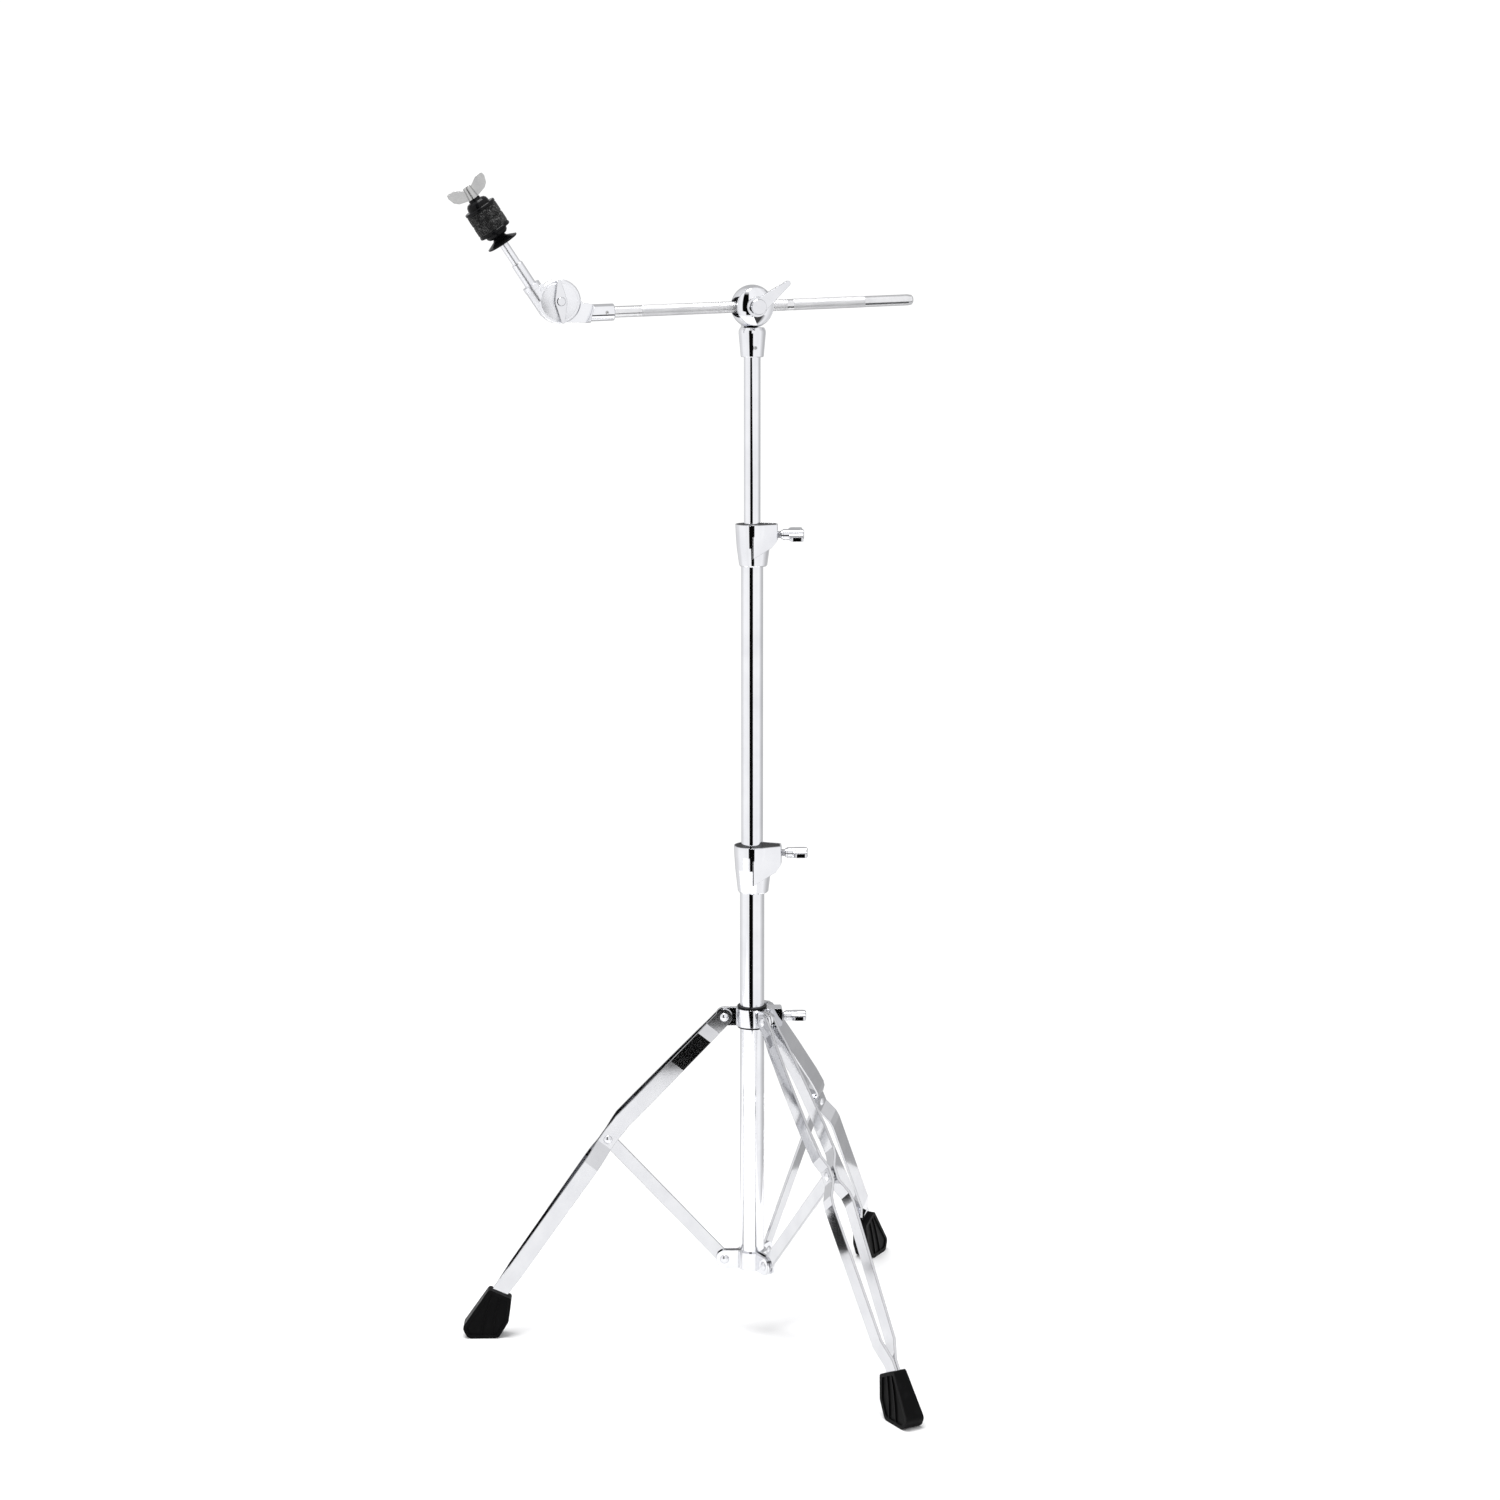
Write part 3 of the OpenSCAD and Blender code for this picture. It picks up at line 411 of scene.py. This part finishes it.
def felt_piece(name, node, seed):
    """A pressed felt ring with a fuzzy side"""
    inverse = STEM.inverted()
    heights = [(inverse @ v.co).z for v in nodes[node].data.vertices]
    radii = [(inverse @ v.co).xy.length for v in nodes[node].data.vertices]
    low, high = min(heights) + 0.00004, max(heights) - 0.00004
    inner, outer = min(radii) + 0.00006, max(radii)
    profile = felt_profile(inner, outer, low, high)
    work = bmesh.new()
    rings = []
    for k in range(AROUND):
        turn = 2 * math.pi * k / AROUND
        out = Vector((math.cos(turn), math.sin(turn), 0))
        ring = []
        for radius, height in profile:
            at = Vector((radius * math.cos(turn), radius * math.sin(turn), height))
            edge = max(0.0, (radius - outer + 2 * FELT_RIM) / (2 * FELT_RIM))
            fuzz = noise.noise(at * 900 + Vector((seed, 0, 0))) * 0.00009
            fuzz += noise.noise(at * 240 + Vector((0, seed, 0))) * 0.0001
            at += out * fuzz * min(edge, 1.0)
            ring.append(work.verts.new(STEM @ at))
        rings.append(ring)
    count = len(profile)
    for k in range(AROUND):
        here, there = rings[k], rings[(k + 1) % AROUND]
        for j in range(count):
            after = (j + 1) % count
            work.faces.new((here[j], there[j], there[after], here[after]))
    bmesh.ops.recalc_face_normals(work, faces=work.faces)
    for face in work.faces:
        face.smooth = True
    piece = new_piece(name, work, MATERIALS["felt"])
    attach(piece, "seat_arm")
    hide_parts(node)
    return low, high, outer


def felt_fibres(name, low, high, outer, seed, material):
    """Loose fibres that stand a little proud of the felt's side"""
    chance = random.Random(seed)
    work = bmesh.new()
    for _ in range(FIBRES):
        turn = chance.uniform(0, 2 * math.pi)
        height = chance.uniform(low + 0.0008, high - 0.0008)
        length = chance.uniform(0.0012, 0.0034)
        lean = chance.uniform(-1, 1)
        rise = chance.uniform(-0.7, 0.7)
        thick = chance.uniform(0.00003, 0.00006)
        last = None
        for step in range(4):
            share = step / 3
            a = turn + lean * length * share / outer * 0.9
            r = outer + 0.0002 * math.sin(math.pi * share) + 0.00012 * share
            z = min(max(height + rise * length * share, low + 0.0002), high - 0.0002)
            at = Vector((r * math.cos(a), r * math.sin(a), z))
            half = thick * (1 - 0.25 * step)
            out = Vector((at.x, at.y, 0)).normalized() * half
            up = Vector((0, 0, half))
            ring = [work.verts.new(STEM @ (at + shift)) for shift in (out, up, -out, -up)]
            if last:
                for j in range(FIBRE_SIDES):
                    after = (j + 1) % FIBRE_SIDES
                    work.faces.new((last[j], last[after], ring[after], ring[j]))
            else:
                work.faces.new(ring)
            last = ring
        work.faces.new(list(reversed(last)))
    piece = new_piece(name, work, material)
    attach(piece, "seat_arm")


fibre_wool = wool("loose_wool", (0.03, 0.03, 0.031), (0.22, 0.22, 0.215), where_pale=0.5)
for which, seed in (("lower", 3), ("upper", 8)):
    size = felt_piece(which + "_felt_wool", which + "_felt", seed)
    felt_fibres(which + "_felt_fibres", *size, seed, fibre_wool)

# ---------- camera, light and floor ----------

scene.view_settings.view_transform = "Standard"
scene.view_settings.look = "None"

CAMERA_DISTANCE = 3.419
CAMERA_HEIGHT = 1.316
CAMERA_PITCH = 0.175
CAMERA_TURN = 0.000736
camera_data = bpy.data.cameras.new("camera")
camera_data.sensor_width = 36
camera_data.lens = 71.76
camera_data.clip_end = 50
camera = bpy.data.objects.new("camera", camera_data)
scene.collection.objects.link(camera)
camera.location = (
    CAMERA_DISTANCE * math.cos(CAMERA_AZIMUTH),
    CAMERA_DISTANCE * math.sin(CAMERA_AZIMUTH),
    CAMERA_HEIGHT,
)
camera.rotation_euler = (
    math.pi / 2 - CAMERA_PITCH, 0, CAMERA_AZIMUTH - 1.5 * math.pi + CAMERA_TURN)
scene.camera = camera

# Brightness round the stand, by degrees from the camera's side
SURROUND = [
    (-180, 0.5), (-160, 0.55), (-142, 0.75), (-115, 0.8), (-95, 1.0), (-60, 1.0), (-42, 0.94),
    (-30, 1.0), (12, 1.0), (50, 0.96), (75, 1.0), (100, 0.7), (125, 0.5), (145, 0.56),
    (160, 0.55), (180, 0.5),
]


def studio_world():
    """White all round, with a dark gap where the photographer's side of the room is open"""
    world = bpy.data.worlds.new("studio")
    scene.world = world
    world.use_nodes = True
    tree = world.node_tree
    tree.nodes.clear()
    where = add(tree, "ShaderNodeTexCoord").outputs["Generated"]
    ahead = (math.cos(CAMERA_AZIMUTH), math.sin(CAMERA_AZIMUTH), 0)
    right = (-math.sin(CAMERA_AZIMUTH), math.cos(CAMERA_AZIMUTH), 0)
    u = vector_node(tree, "DOT_PRODUCT", where, right)
    v = vector_node(tree, "DOT_PRODUCT", where, ahead)
    turn = product(tree, math_node(tree, "ARCTAN2", u, v), 180 / math.pi)
    height = add(tree, "ShaderNodeSeparateXYZ", {0: where}).outputs["Z"]
    rise = product(tree, math_node(tree, "ARCSINE", height), 180 / math.pi)
    ramp = add(tree, "ShaderNodeValToRGB", {"Fac": span(tree, turn, -180, 180)})
    band = ramp.color_ramp
    band.elements[0].position = 0
    band.elements[1].position = 1
    for degrees, _ in SURROUND[1:-1]:
        band.elements.new((degrees + 180) / 360)
    for element, (_, level) in zip(band.elements, SURROUND):
        element.color = (level, level, level * 1.01, 1)
    right_edge = span(tree, rise, -5, -2, 8.5, -3)
    left_edge = span(tree, rise, -22, -18, -15, -28)
    past_left = span(tree, math_node(tree, "SUBTRACT", turn, left_edge), -1.5, 1.5)
    before_right = span(tree, math_node(tree, "SUBTRACT", turn, right_edge), 1.5, -1.5)
    above, below = span(tree, rise, -36, -33), span(tree, rise, 60, 45)
    gap = product(tree, past_left, above, before_right, below)
    low = product(
        tree, span(tree, turn, 8, 14), span(tree, turn, 80, 60), span(tree, rise, -28, -31), 0.95)
    dark = math_node(tree, "MAXIMUM", gap, low)
    lit = blend_colours(tree, dark, ramp.outputs[0], (0.002, 0.002, 0.002))
    seen = add(tree, "ShaderNodeLightPath").outputs["Is Camera Ray"]
    colour = blend_colours(tree, seen, lit, (1, 1, 1))
    shine = add(tree, "ShaderNodeBackground", {"Color": colour, "Strength": 1.06})
    add(tree, "ShaderNodeOutputWorld", {"Surface": shine.outputs[0]})


def soft_light(name, azimuth, elevation, distance, size, power):
    """A round lamp that looks at the middle of the stand"""
    data = bpy.data.lights.new(name, "AREA")
    data.shape = "DISK"
    data.size = size
    data.energy = power
    light = bpy.data.objects.new(name, data)
    scene.collection.objects.link(light)
    aim = Vector((0, 0, 0.6))
    way = Vector((
        math.cos(azimuth) * math.cos(elevation),
        math.sin(azimuth) * math.cos(elevation),
        math.sin(elevation),
    ))
    light.location = aim + way * distance
    light.rotation_euler = (-way).to_track_quat("-Z", "Y").to_euler()


def floor():
    """A plain pale floor: a sheet that ends a little way round the stand"""
    front, right, left, back = 1.38, 0.5, -1.6, -0.46
    work = bmesh.new()
    side = Matrix.Rotation(CAMERA_AZIMUTH, 3, "Z")
    corners = [(front, left, 0), (front, right, 0), (back, right, 0), (back, left, 0)]
    work.faces.new([work.verts.new(side @ Vector(c)) for c in corners])
    bmesh.ops.recalc_face_normals(work, faces=work.faces)
    paint, tree, shader, where = new_material("floor_paint")
    tone = span(tree, noise_node(tree, where, 1.5, 2), 0.3, 0.7)
    colour = blend_colours(tree, tone, (0.93, 0.93, 0.93), (0.95, 0.95, 0.95))
    tree.links.new(colour, shader.inputs["Base Color"])
    shader.inputs["Roughness"].default_value = 0.9
    shader.inputs["Specular IOR Level"].default_value = 0.1
    new_piece("floor", work, paint)


studio_world()
soft_light(
    "key", CAMERA_AZIMUTH - math.radians(50), math.radians(78), distance=4.5, size=2.6, power=160)
floor()
